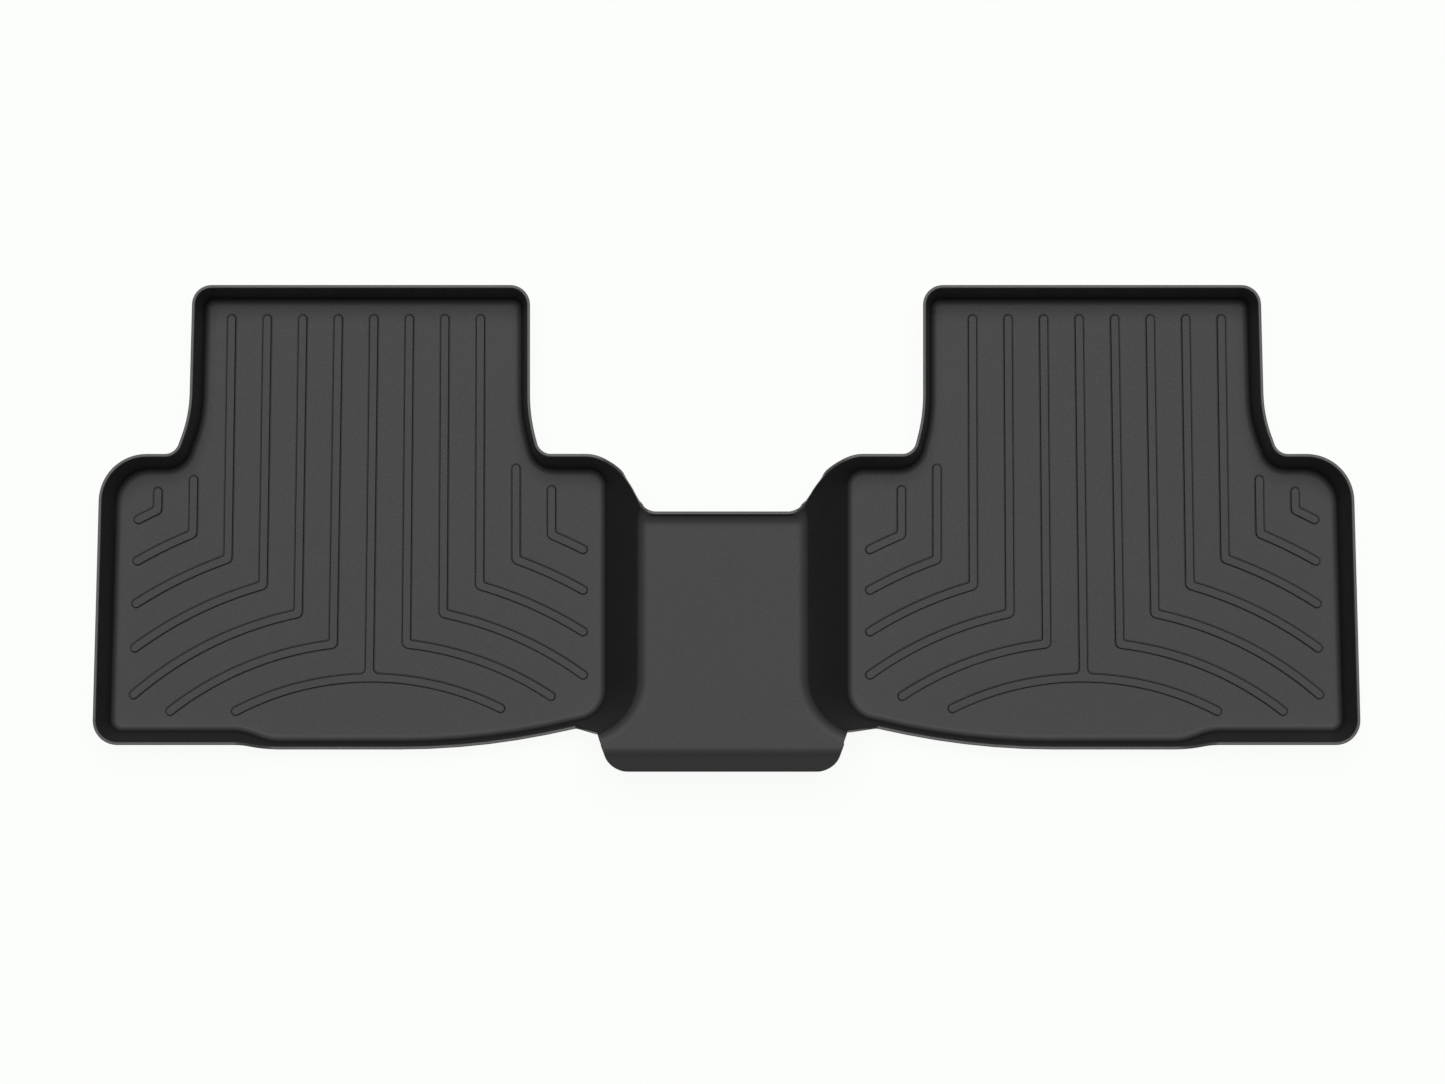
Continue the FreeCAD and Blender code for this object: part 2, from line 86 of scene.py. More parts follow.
# The front rim's climb to the lip: its start, its slope and the lean of its cut edge.
CLIMB_Y, CLIMB_SLOPE, CLIMB_LEAN = 72.5, 1.04, 2.2
# The rear rim: start and length of its step, start of its climb to the bridge, and how far
# from the centre plane the climb is looked for.
STEP_U, STEP_LENGTH, REAR_CLIMB_U, CLIMB_WITHIN = 483, 44, 161.0, 200
# The rear flange: its edge, bend line, bend radius and angle.
FLANGE_EDGE, FLANGE_BEND, FLANGE_RADIUS, FLANGE_ANGLE = -258.9, -238.2, 14, 42
# The flange in plan: half width, corner radius, flare of its sides, the flare's length, and
# half the width where the sides leave the bridge's rounded edge.
APRON_HALF, APRON_CORNER, APRON_FLARE, FLARE_LENGTH, APRON_ROOT = 126, 25, 5, 16.2, 128.5


def hex_colour(code):
    """An sRGB hex colour as linear values, with full opacity."""
    parts = [int(code[n:n + 2], 16) / 255 for n in (1, 3, 5)]
    return tuple(c / 12.92 if c <= 0.04045 else ((c + 0.055) / 1.055) ** 2.4 for c in parts) + (1.0,)


def along(angle):
    """Unit vectors in plan at these angles in degrees."""
    turn = np.radians(angle)
    return np.stack([np.cos(turn), np.sin(turn)], -1)


def softer(first, second, blend):
    """The greater of two values, eased where they come within `blend` of each other."""
    return (first + second + np.sqrt((second - first) ** 2 + blend ** 2)) / 2


def wall_leans(side):
    """Slopes of a tray's walls: the flank's depends on the side, as the bridge lies off centre."""
    leans = WALLS[:, 3].copy()
    leans[FLANK] -= side * SHIFT / 100
    return leans


def wall_shift(lean, rise, fillet):
    """Distance of a wall from its sharp foot: slope times rise, and below the tangent
    point the arc's centre plus the arc's own reach."""
    tilt = np.arctan(lean)
    arc = -fillet * np.tan(np.pi / 4 - tilt / 2) + np.sqrt(
        np.maximum(0, fillet ** 2 - (fillet - np.minimum(rise, fillet)) ** 2))
    return np.where(rise >= fillet * (1 - np.sin(tilt)), lean * rise, arc)


def corner_at(side, offset, corner, rise, fillet):
    """The arc that joins wall `corner` to the next one at this rise: the walls' lines are
    moved out by their shift, crossed, and rounded by the radius grown with the rise."""
    following = (corner + 1) % len(WALLS)
    leans = wall_leans(side)
    ends, eased = [], []
    for wall in (corner, following):
        lean = leans[wall]
        shift = offset * (np.hypot(1, lean) - lean) + wall_shift(lean, rise, fillet + offset)
        ends.append(WALLS[wall, :2] + along(WALLS[wall, 2] - 90) * shift[..., None])
        eased.append(wall_shift(lean, rise, fillet + offset) - lean * rise)
    a, b = along(WALLS[corner, 2]), along(WALLS[following, 2])
    gap = ends[1] - ends[0]
    reach = (gap[..., 0] * b[..., 1] - gap[..., 1] * b[..., 0]) / (
        a[..., 0] * b[..., 1] - a[..., 1] * b[..., 0])
    point = ends[0] + a * reach[..., None]
    gain = WALLS[corner, 5]
    radius = WALLS[corner, 4] + gain * (rise - offset) + np.sign(gain) * (
        offset + (eased[0] + eased[1]) / 2)
    turn = (WALLS[following, 2] - WALLS[corner, 2] + 180) % 360 - 180
    cut = (radius * np.tan(np.radians(np.abs(turn)) / 2))[..., None]
    start = point - a * cut
    sign = np.sign(turn)
    centre = start + np.stack([-a[..., 1], a[..., 0]], -1) * (radius * sign)[..., None]
    return start, point + b * cut, centre, radius, turn, sign


def on_tray(side, offset, cols, rise, fillet):
    """Plan points of a tray's face: share f along wall k, or round the corner at its end,
    at each rise.  cols is (k, f, bend) and rise has one column for each of them."""
    k, f, bend = cols
    start, _, centre, radius, turn, sign = corner_at(side, offset, k, rise, fillet)
    _, begin, _, _, _, _ = corner_at(side, offset, (k - 1) % len(WALLS), rise, fillet)
    straight = begin * (1 - f)[..., None] + start * f[..., None]
    swing = along(WALLS[k, 2] - 90 * sign + f * turn)
    return np.where(bend[..., None], centre + swing * radius[..., None], straight)


class Shape:
    """The liner's sizes in millimetres, read from the add-on's properties."""

    def __init__(self, sizes):
        for name in ("rim", "entry_rim", "bridge_top", "lip_rise", "lip_bend", "edge_round",
                     "bridge_round", "foot_round", "rib_width", "rib_rise"):
            setattr(self, name, getattr(sizes, name) / MM)
        self.plies = [sizes.skin / MM, sizes.core / MM, sizes.backing / MM]
        self.thick = sum(self.plies)
        self.lip_top = self.bridge_top + self.lip_rise
        self.wide_turn = math.radians(WIDE_TURN)
        self.lip_start = LIP_Y - self.lip_bend * math.sin(self.wide_turn) - TIGHT_BEND * (
            math.sin(math.radians(LIP_TURN)) - math.sin(self.wide_turn))

    def drop(self, offset):
        """How far the rounded edge lies inside the trim line at this depth: the radius
        less the circle's height there."""
        near = min(offset, self.thick - offset)
        r = self.edge_round
        return r - math.sqrt(max(0, r * r - max(0, r - near) ** 2))

    def front_limit(self, y, offset):
        """Height of the trimmed rim beside the lip: level, then a straight climb rearwards.
        Between y 25 and y 60 the knife stood upright, so the cut leans with the depth."""
        climb = self.rim + CLIMB_SLOPE * (CLIMB_Y - y)
        upright = np.clip((60 - y) / 8, 0, 1) * np.clip((y - 25) / 6, 0, 1)
        trim = np.minimum(self.lip_top, softer(self.rim, climb, 3))
        return trim - self.drop(offset) - upright * offset * CLIMB_LEAN

    def rear_limit(self, u, offset, top):
        """Height of the rear rim: low where feet pass, stepping up towards the door, and
        climbing to the bridge along a line to the point `top`."""
        step = np.clip((u - STEP_U) / STEP_LENGTH, 0, 1)
        low = self.entry_rim + (self.rim - self.entry_rim) * step * step * (3 - 2 * step)
        share = (REAR_CLIMB_U - u) / (REAR_CLIMB_U - top[0])
        line = self.entry_rim + (top[1] - self.entry_rim) * share
        raised = np.minimum(softer(low, line, 4), top[1] + self.drop(offset))
        return np.where(u < CLIMB_WITHIN, raised, low) - self.drop(offset)


def flank_ball(shape, side, turn):
    """Centre of the ball that rounds the bridge's long edge, for its front stretch: it
    rolls along the flank's plane and up the lip, turned by `turn` from the flat."""
    lean = wall_leans(side)[FLANK]
    normal = np.array([1, 0, lean]) / math.hypot(1, lean)
    wide, tight = shape.lip_bend, TIGHT_BEND
    eased = np.minimum(turn, shape.wide_turn)
    y = shape.lip_start + wide * np.sin(eased) + tight * (np.sin(turn) - np.sin(eased))
    z = shape.bridge_top + wide * (1 - np.cos(eased)) + tight * (np.cos(eased) - np.cos(turn))
    y, z = y + shape.bridge_round * np.sin(turn), z - shape.bridge_round * np.cos(turn)
    contact = z + shape.bridge_round * normal[2]
    u = WALLS[FLANK, 0] - lean * (contact - shape.thick) - shape.bridge_round * normal[0]
    return np.stack([u, y, z], -1), np.broadcast_to(normal, y.shape + (3,))


def corner_ball(shape, side, share):
    """The same ball round the tray's rear corner: below the wall by its radius, with its
    crown at the bridge's level.  The contact's rise is settled by repetition."""
    k = np.full(share.shape, FLANK)
    bend = np.full(share.shape, True)
    rise = np.full(share.shape, shape.bridge_top - shape.thick - 9.0)

    def at(f, r):
        xy = on_tray(side, 0.0, (k, f, bend), r, shape.foot_round)
        return np.concatenate([xy, (shape.thick + r)[..., None]], -1)

    for _ in range(5):
        across = at(share + 1e-3, rise) - at(share - 1e-3, rise)
        upwards = at(share, rise + 0.5) - at(share, rise - 0.5)
        normal = np.cross(upwards, across)
        normal /= np.linalg.norm(normal, axis=-1, keepdims=True)
        rise = shape.bridge_top - shape.thick - shape.bridge_round * (1 - normal[..., 2])
    return at(share, rise) - shape.bridge_round * normal, normal


def swung(first, last, share):
    """Unit vectors part of the way round from one to another, evenly by angle."""
    angle = np.arccos(np.clip((first * last).sum(-1), -1, 1))[..., None]
    share = share[..., None]
    return (np.sin(angle * (1 - share)) * first + np.sin(angle * share) * last) / np.sin(angle)


def ridge_normal(turn):
    """Upward normal of the bridge's own face where it has turned up the lip by `turn`."""
    return np.stack([np.zeros_like(turn), -np.sin(turn), np.cos(turn)], -1)


def rounding(shape, side, offset):
    """One side's rounded edge of the bridge on one face: rows from the lip to the apron,
    columns from the flank over to the flat.  Each point is the ball's centre plus its
    radius, less the depth, along a direction swung from the wall's normal to the
    bridge's.  Returns the grid and the shares along the flank and the rear corner."""
    radius = shape.bridge_round - offset
    shares = np.linspace(0, 1, ROUND_COLUMNS + 1)
    # Where each column meets the trim beside the lip.
    turns = np.radians(np.linspace(0, 89.5, 600))[:, None]
    centre, normal = flank_ball(shape, side, turns + 0 * shares)
    spot = centre + radius * swung(normal, ridge_normal(turns + 0 * shares), shares + 0 * turns)
    over = spot[..., 2] > shape.front_limit(spot[..., 1], offset)
    first = np.argmax(over, 0)
    trim = turns[first, 0]
    weights = np.linspace(1, 0, LIP_ROWS + 1)[:-1] ** 0.9
    lip_turns = weights[:, None] * trim
    # Flat stretch along the flank, then the rear corner to the apron's side.
    centre0, normal0 = flank_ball(shape, side, np.zeros(1))
    contact = centre0[0, 2] + shape.bridge_round * normal0[0, 2] - shape.thick
    k = np.array([FLANK])
    end = corner_at(side, 0.0, k, np.array([contact]), shape.foot_round)[0][0, 1]
    run = np.linspace(shape.lip_start, end, FLANK_ROWS + 1)[:-1]
    flat_centre = np.repeat(centre0, FLANK_ROWS, 0)
    flat_centre[:, 1] = run
    probe = np.linspace(0, 1, 80)
    reach = corner_ball(shape, side, probe)[0][:, 0]
    target = APRON_ROOT + side * SHIFT - shape.drop(offset)
    last = np.interp(target, reach, probe)
    rear_shares = np.linspace(0, last, REAR_ROWS + 1)
    rear_centre, rear_normal = corner_ball(shape, side, rear_shares)
    flat_turns = np.zeros((FLANK_ROWS + REAR_ROWS + 1, ROUND_COLUMNS + 1))
    turn = np.concatenate([lip_turns, flat_turns])
    lip_centre, lip_normal = flank_ball(shape, side, lip_turns)
    wide = np.ones(ROUND_COLUMNS + 1)[None, :, None]
    centres = np.concatenate([lip_centre, flat_centre[:, None] * wide, rear_centre[:, None] * wide])
    normals = np.concatenate([lip_normal, normal0[:, None] * wide * np.ones((FLANK_ROWS, 1, 1)),
                              rear_normal[:, None] * wide])
    grid = centres + radius * swung(normals, ridge_normal(turn), shares + 0 * turn)
    return grid, rear_shares


def tray_columns(shape, side, offset, grid, rear_shares):
    """Which wall or corner each of a tray's columns runs up, and how far along it, going
    round from the front of the flank.  The flank's match the rounding's rows."""
    contact = grid[:LIP_ROWS + FLANK_ROWS, 0]
    rise = contact[:, 2] - shape.thick + offset
    k = np.full(rise.shape, FLANK)
    start = corner_at(side, offset, k, rise, shape.foot_round)[0][:, 1]
    begin = corner_at(side, offset, k - 1, rise, shape.foot_round)[1][:, 1]
    flank = np.clip((contact[:, 1] - begin) / (start - begin), 0, 1)
    free = np.linspace(0, flank[0], FREE_FRONT + 1)[:-1]
    beyond = np.linspace(rear_shares[-1], 1, FREE_REAR + 1)[1:-1]
    ks, fs, bends = [], [], []

    def add(wall, shares, bend):
        ks.append(np.full(len(shares), wall))
        fs.append(np.asarray(shares, float))
        bends.append(np.full(len(shares), bend))

    add(FLANK, free, False)
    add(FLANK, flank, False)
    add(FLANK, rear_shares, True)
    add(FLANK, beyond, True)
    for step in range(1, len(WALLS)):
        wall = (FLANK + step) % len(WALLS)
        add(wall, np.linspace(0, 1, WALL_COLUMNS[wall] + 1)[:-1], False)
        add(wall, np.linspace(0, 1, CORNER_COLUMNS[wall] + 1)[:-1], True)
    return np.concatenate(ks), np.concatenate(fs), np.concatenate(bends)


def rim_rise(shape, side, offset, cols, top):
    """Rise at which each column meets the trim, found by halving."""
    k, f, bend = cols
    low = np.full(k.shape, 8.5 + offset)
    high = np.full(k.shape, shape.lip_top - shape.thick + offset)
    beside_lip = (k == 3) | ((k == FLANK) & ~bend)
    rear = ((k == FLANK) & bend) | (k == 5) | (k == 6) | (k == 7) | ((k == 8) & ~bend)
    for _ in range(34):
        middle = (low + high) / 2
        xy = on_tray(side, offset, cols, middle, shape.foot_round)
        limit = np.where(beside_lip, shape.front_limit(xy[..., 1], offset),
                         np.where(rear, shape.rear_limit(xy[..., 0], offset, top),
                                  shape.rim - shape.drop(offset)))
        above = middle + shape.thick - offset > limit
        high = np.where(above, middle, high)
        low = np.where(above, low, middle)
    return (low + high) / 2


def tray_band(shape, side, offset):
    """A tray's walls on one face as a grid: rows up the rounded foot and the wall, columns
    round the tray.  Also the bridge's rounded edge on this side."""
    grid, rear_shares = rounding(shape, side, offset)
    cols = tray_columns(shape, side, offset, grid, rear_shares)
    joined = slice(FREE_FRONT, FREE_FRONT + len(grid))
    last = grid[-1, 0]
    rise = rim_rise(shape, side, offset, cols, (last[0], last[2]))
    rise[joined] = grid[:, 0, 2] - shape.thick + offset
    foot = (shape.foot_round + offset) * (1 - np.cos(np.radians(FOOT_TURNS)))
    rows = np.concatenate([np.repeat(foot[:, None], len(rise), 1),
                           foot[-1] + (rise - foot[-1]) * WALL_SHARES[:, None]])
    xy = on_tray(side, offset, cols, rows, shape.foot_round)
    band = np.concatenate([xy, (rows + shape.thick - offset)[..., None]], -1)
    gap = grid[:, 0] - band[-1, joined]
    share = np.concatenate([np.zeros(len(foot)), WALL_SHARES])[:, None, None] ** 2
    band[:, joined, :2] += (gap * share)[..., :2]
    band[-1, joined] = grid[:, 0]
    band[..., 0] *= side
    grid = grid.copy()
    grid[..., 0] *= side
    return band, grid


def flange_profile(shape):
    """The bridge's rear profile: its height and slope against y, from the flat round the
    bend to the straight flange, whose cut edge flares level over the last millimetres."""
    y = np.linspace(-200, FLANGE_EDGE, 1200)
    start = FLANGE_BEND + FLANGE_RADIUS * math.tan(math.radians(FLANGE_ANGLE / 2))
    turned = np.arcsin(np.clip((start - y) / FLANGE_RADIUS, 0, 0.9))
    slope = np.minimum(turned, math.radians(FLANGE_ANGLE))
    # Over the last 2.3 mm the slope falls to 0.12 of itself.
    slope = slope * np.clip(1 - (FLANGE_EDGE + 2.3 - y) / 2.6, 0.12, 1)
    z = shape.bridge_top - np.concatenate([[0], np.cumsum(np.tan(slope[1:]) * -np.diff(y))])
    return y, z, slope


def bridge(shape, offset, right, left):
    """The bridge on one face: the right rounding, straight lines across between the two
    roundings, and the left one; then the flange's rows out to its rounded corners."""
    share = np.linspace(0, 1, BRIDGE_COLUMNS + 1)[None, 1:-1, None]
    across = right[:, -1:] * (1 - share) + left[:, -1:] * share
    main = np.concatenate([right, across, left[:, ::-1]], 1)
    y, z, slope = flange_profile(shape)
    order = np.argsort(y)
    corner = APRON_CORNER - shape.drop(offset)
    turns = np.radians(np.linspace(0, 90, 13))
    corner_y = FLANGE_EDGE + APRON_CORNER
    # The first rows are shares of the way to the corners, the others are places.
    outline_y = np.concatenate([[0.25, 0.5, 0.75], corner_y - corner * np.sin(turns)])
    rows = []
    first = main[-1, ROUND_COLUMNS:-ROUND_COLUMNS]
    share = np.linspace(0, 1, BRIDGE_COLUMNS + 1)
    for n, value in enumerate(outline_y):
        if n < 3:
            own, reach = first[:, 1] * (1 - value) + corner_y * value, corner
        else:
            own, reach = np.full(len(share), value), corner * math.cos(turns[n - 3])
        ends = []
        for spot, side in ((own[0], RIGHT), (own[-1], LEFT)):
            flare = APRON_FLARE * np.clip((spot - FLANGE_BEND) / FLARE_LENGTH, 0, 1)
            ends.append(SHIFT + side * (APRON_HALF - APRON_CORNER + reach + flare))
        x = ends[0] * (1 - share) + ends[1] * share
        height = np.interp(own, y[order], z[order])
        tilt = np.interp(own, y[order], slope[order])
        rows.append(np.stack([x, own + offset * np.sin(tilt), height - offset * np.cos(tilt)], -1))
    flange = np.concatenate([first[None], np.array(rows)])
    return main, flange


def face_grids(shape, offset):
    """Everything but the floors on one face."""
    right_band, right = tray_band(shape, RIGHT, offset)
    left_band, left = tray_band(shape, LEFT, offset)
    main, flange = bridge(shape, offset, right, left)
    return right_band, left_band, main, flange


def rim_loop(shape, offset):
    """The trimmed edge on one face as one closed line, anticlockwise from above."""
    right, left, main, flange = face_grids(shape, offset)
    after = FREE_FRONT + len(main) - 1
    right_top = np.concatenate([right[-1, after:], right[-1, :FREE_FRONT]])
    left_top = np.concatenate([left[-1, after:], left[-1, :FREE_FRONT]])[::-1]
    inner = slice(ROUND_COLUMNS, -ROUND_COLUMNS)
    return np.concatenate([
        right_top, main[0], left_top,
        main[-1, ::-1][1:ROUND_COLUMNS + 1], flange[1:, -1], flange[-1, ::-1][1:],
        flange[1:-1, 0][::-1], main[-1, ::-1][-ROUND_COLUMNS - 1:-1],
    ])


# ---------------------------------------------------------------- raised bars

# A tray's bars counted from the tunnel: how far each front end lies behind the long ones'.
SETBACKS = np.array([183.9, 160.8, 0, 0, 0, 0, 0, 0, 0, 0, 172.9, 185.6])
RING_CENTRE = np.array([382.4, -473.6])
MIDDLE = 5
PITCH, FIRST_BAR, BAR_FRONT, RING, RING_STEP = 38.2, 188.1, 224.5, 312.3, 38.5
# Greatest tilt of a straight bar, and how many bars it takes to get there.
FAN, BARS_TO_FAN = 0.9, 5
# Lines that end the curved bars, each as a point and an angle: short of the side wall and
# of the rear wall.
DOOR_ENDS = ((632.6, 0.0), 91.56), ((632.6, -197.2), 0)
TUNNEL_ENDS = ((154.2, 0.0), 90), ((255.6, -228.9 + 30.8 / math.cos(math.radians(13.6))), 166.4)
# The straight and the curved line of a bar both stop this far from their knee.
KNEE = 7.0


def on_ring(radius, point, heading):
    """Where a line first meets the ring of this radius, and where it leaves it."""
    nearest = point + heading * ((RING_CENTRE - point) @ heading)
    half_chord = heading * math.sqrt(radius ** 2 - ((nearest - RING_CENTRE) ** 2).sum())
    return nearest - half_chord, nearest + half_chord


def bar_line(column):
    """A straight bar's front end, its direction, its ring's radius and where they meet."""
    heading = along(FAN * min(1, max(0, column - 1) / BARS_TO_FAN) - 90)
    start = np.array([FIRST_BAR + column * PITCH, BAR_FRONT]) + heading * SETBACKS[column]
    radius = RING + abs(column - MIDDLE) * RING_STEP
    return start, heading, radius, on_ring(radius, start, heading)[0]


def ring_end(radius, outwards):
    """Where a curved bar stops: at whichever of its two lines it meets first."""
    lines = DOOR_ENDS if outwards else TUNNEL_ENDS
    ends = [on_ring(radius, np.array(point), along(angle))[1] for point, angle in lines]
    return max(ends, key=lambda end: end[1])


def ring_run(knee, radius, outwards):
    """Points and headings along a curved bar from its knee to its end."""
    begin = math.atan2(*(knee - RING_CENTRE)[::-1])
    finish = math.atan2(*(ring_end(radius, outwards) - RING_CENTRE)[::-1])
    lead = (-KNEE if outwards else KNEE) / radius
    angles = np.linspace(begin + lead, finish, max(6, int(abs(finish - begin) * radius / 7)))
    out = np.stack([np.cos(angles), np.sin(angles)], -1)
    return RING_CENTRE + out * radius, out


def cap(point, heading):
    """Round end: the point, with directions swung from the right of the heading to its left."""
    base = math.degrees(math.atan2(heading[1], heading[0]))
    return np.repeat(point[None], 11, 0), along(base + np.linspace(-90, 90, 11))


def bar_outline(column, width):
    """A bar's outline as base points and directions: a ring at distance d from the centre
    line is base + d * direction.  Ends swing round a point, an outer knee swings, an inner
    knee is the mitre of both directions, and a tee's inner corners are arcs about a centre
    one fillet beyond both lines.  Anticlockwise, starting at the front end."""
    start, heading, radius, knee = bar_line(column)
    left = np.array([-heading[1], heading[0]])      # towards the door when heading rearwards
    run = np.linspace(0, 1, 24)[1:, None]
    straight = start * (1 - run) + (knee - heading * KNEE) * run
    radial = (knee - RING_CENTRE) / radius
    parts = []

    def put(base, normal):
        base = np.atleast_2d(base)
        parts.append((base, np.broadcast_to(np.atleast_2d(normal), base.shape)))

    def put_curved(points, out, outwards):
        """Along one side of a curved bar, round its end and back along the other."""
        sign = -1 if outwards else 1
        put(points, sign * out)
        put(*cap(points[-1], sign * np.array([-out[-1, 1], out[-1, 0]])))
        put(points[::-1], -sign * out[::-1])

    put(*cap(start, -heading))
    if column == MIDDLE:
        put(straight[:-3], -left)
        fillet = 5.5
        reach = fillet + width / 2
        sides = []
        for outwards in (False, True):
            # Centre of the inner corner: beyond the stem by reach, beyond the ring by reach.
            away = left if outwards else -left
            high = radius + reach
            lever = knee - RING_CENTRE + away * reach
            b = lever @ heading
            c = lever @ lever - high ** 2
            spot = RING_CENTRE + lever + heading * (-b - math.sqrt(b * b - c))
            toward_ring = -(spot - RING_CENTRE) / high
            shares = np.linspace(0, 1, 9)
            arms = swung(np.append(-away, 0)[None], np.append(toward_ring, 0)[None], shares)[:, :2]
            points, out = ring_run(knee, radius, outwards)
            keep = np.abs((points - knee) @ away) > reach + 1
            sides.append((spot + arms * reach, -arms, points[keep], out[keep]))
        base, normal, points, out = sides[0]
        put(base, normal)
        put_curved(points, out, False)
        put(knee, -radial)
        base, normal, points, out = sides[1]
        put_curved(points, out, True)
        put(base[::-1], normal[::-1])
        put(straight[:-3][::-1], left)
    else:
        outwards = column > MIDDLE
        inner = left if outwards else -left          # the side that the knee turns to
        mitre = (inner + radial) / (1 + inner @ radial)
        # The outer bend's centre lies inwards of the knee; the inner bend's lies beyond it.
        outer_bend, inner_bend = 2.5, 1.8
        from_angle = math.degrees(math.atan2(-inner[1], -inner[0]))
        to_angle = math.degrees(math.atan2(-radial[1], -radial[0]))
        swing = (to_angle - from_angle + 180) % 360 - 180
        fan = along(from_angle + np.linspace(0, 1, 9) * swing)
        reach = inner_bend + width / 2
        bends = [(knee + mitre * reach + fan * reach, -fan),
                 (knee + mitre * outer_bend + fan * outer_bend, fan)]
        if outwards:
            bends.reverse()
        # A bar that turns towards the tunnel has its inner bend drawn first.
        put(straight, -left)
        put(*bends[0])
        put_curved(*ring_run(knee, radius, outwards), outwards)
        base, normal = bends[1]
        put(base[::-1], normal[::-1])
        put(straight[::-1], left)
    return np.concatenate([p for p, _ in parts]), np.concatenate([n for _, n in parts])


def bar_rows(shape, offset):
    """Profile of a bar's flank as (distance from the centre line, height): a groove at the
    foot, a sloping side and a rounded shoulder."""
    half = shape.rib_width / 2 - offset
    draft, r = 0.75, 0.45
    turns = np.radians([20, 55, 90])
    shoulder = [(half - draft - r * (1 - math.cos(t)), shape.rib_rise - r * (1 - math.sin(t)))
                for t in turns]
    dip = 0.5 if offset == 0 else 0.0                # only the face that shows is grooved
    return [(half + 1.25, 0), (half + 0.9, -0.25 * dip), (half + 0.5, -dip),
            (half + 0.1, -0.9 * dip), (half - 0.15, 0.2)] + shoulder


class Soup:
    """Triangles gathered from several pieces of surface and welded by place.  No point
    rises above the ceiling."""

    def __init__(self, ceiling):
        self.ceiling = ceiling
        self.points, self.faces, self.kinds, self.count = [], [], [], 0

    def add(self, points, faces, kind, flip=False):
        """Takes triangles of one kind, turned over if flip is true."""
        points = np.asarray(points, float).reshape(-1, 3)
        faces = np.asarray(faces, int).reshape(-1, 3)
        self.points.append(points)
        self.faces.append((faces[:, ::-1] if flip else faces) + self.count)
        self.kinds.append(np.full(len(faces), kind))
        self.count += len(points)

    def grid(self, grid, kind, flip=False, closed=False):
        """Triangles of a grid of points; closed joins the last column to the first."""
        rows, cols = grid.shape[:2]
        index = np.arange(rows * cols).reshape(rows, cols)
        if closed:
            index = np.concatenate([index, index[:, :1]], 1)
        a, b, c, d = index[:-1, :-1], index[:-1, 1:], index[1:, 1:], index[1:, :-1]
        faces = np.stack([np.stack([a, b, c], -1), np.stack([a, c, d], -1)], 2)
        self.add(grid, faces, kind, flip)

    def mesh(self, name):
        """One welded mesh in metres.  Each face keeps one of two kinds, outer or hidden, and
        a corner's normal is the area-weighted mean of its own kind's faces round it, so the
        cut edge stays crisp where the plies meet."""
        points = np.concatenate(self.points)
        points[:, 2] = np.minimum(points[:, 2], self.ceiling)
        faces = np.concatenate(self.faces)
        kinds = np.concatenate(self.kinds)
        _, first, inverse = np.unique(np.round(points, 3), axis=0, return_index=True,
                                      return_inverse=True)
        points = points[first]
        faces = inverse.reshape(-1)[faces]
        whole = (faces != np.roll(faces, 1, 1)).all(1)
        faces, kinds = faces[whole], kinds[whole]
        corners = points[faces]
        area = np.cross(corners[:, 1] - corners[:, 0], corners[:, 2] - corners[:, 0])
        key = faces + kinds[:, None] * len(points)
        normals = np.zeros((2 * len(points), 3))
        np.add.at(normals, key.reshape(-1), np.repeat(area, 3, 0))
        normals /= np.maximum(np.linalg.norm(normals, axis=1, keepdims=True), 1e-12)
        mesh = bpy.data.meshes.new(name)
        mesh.vertices.add(len(points))
        mesh.vertices.foreach_set("co", (points * MM).astype(np.float32).reshape(-1))
        mesh.loops.add(faces.size)
        mesh.loops.foreach_set("vertex_index", faces.reshape(-1).astype(np.int32))
        mesh.polygons.add(len(faces))
        mesh.polygons.foreach_set("loop_start", np.arange(0, faces.size, 3, dtype=np.int32))
        mesh.update(calc_edges=True)
        mesh.polygons.foreach_set("use_smooth", np.ones(len(faces), bool))
        mesh.validate()
        mesh.normals_split_custom_set(normals[key.reshape(-1)])
        mesh.update()
        return mesh


def inside(points, ring):
    """Which points lie inside a closed outline, by counting the edges crossed."""
    a, b = ring[None], np.roll(ring, -1, 0)[None]
    p = points[:, None]
    spans = (a[..., 1] > p[..., 1]) != (b[..., 1] > p[..., 1])
    rise = np.where(b[..., 1] == a[..., 1], 1e-9, b[..., 1] - a[..., 1])
    at = a[..., 0] + (p[..., 1] - a[..., 1]) * (b[..., 0] - a[..., 0]) / rise
    return (spans & (p[..., 0] < at)).sum(1) % 2 == 1


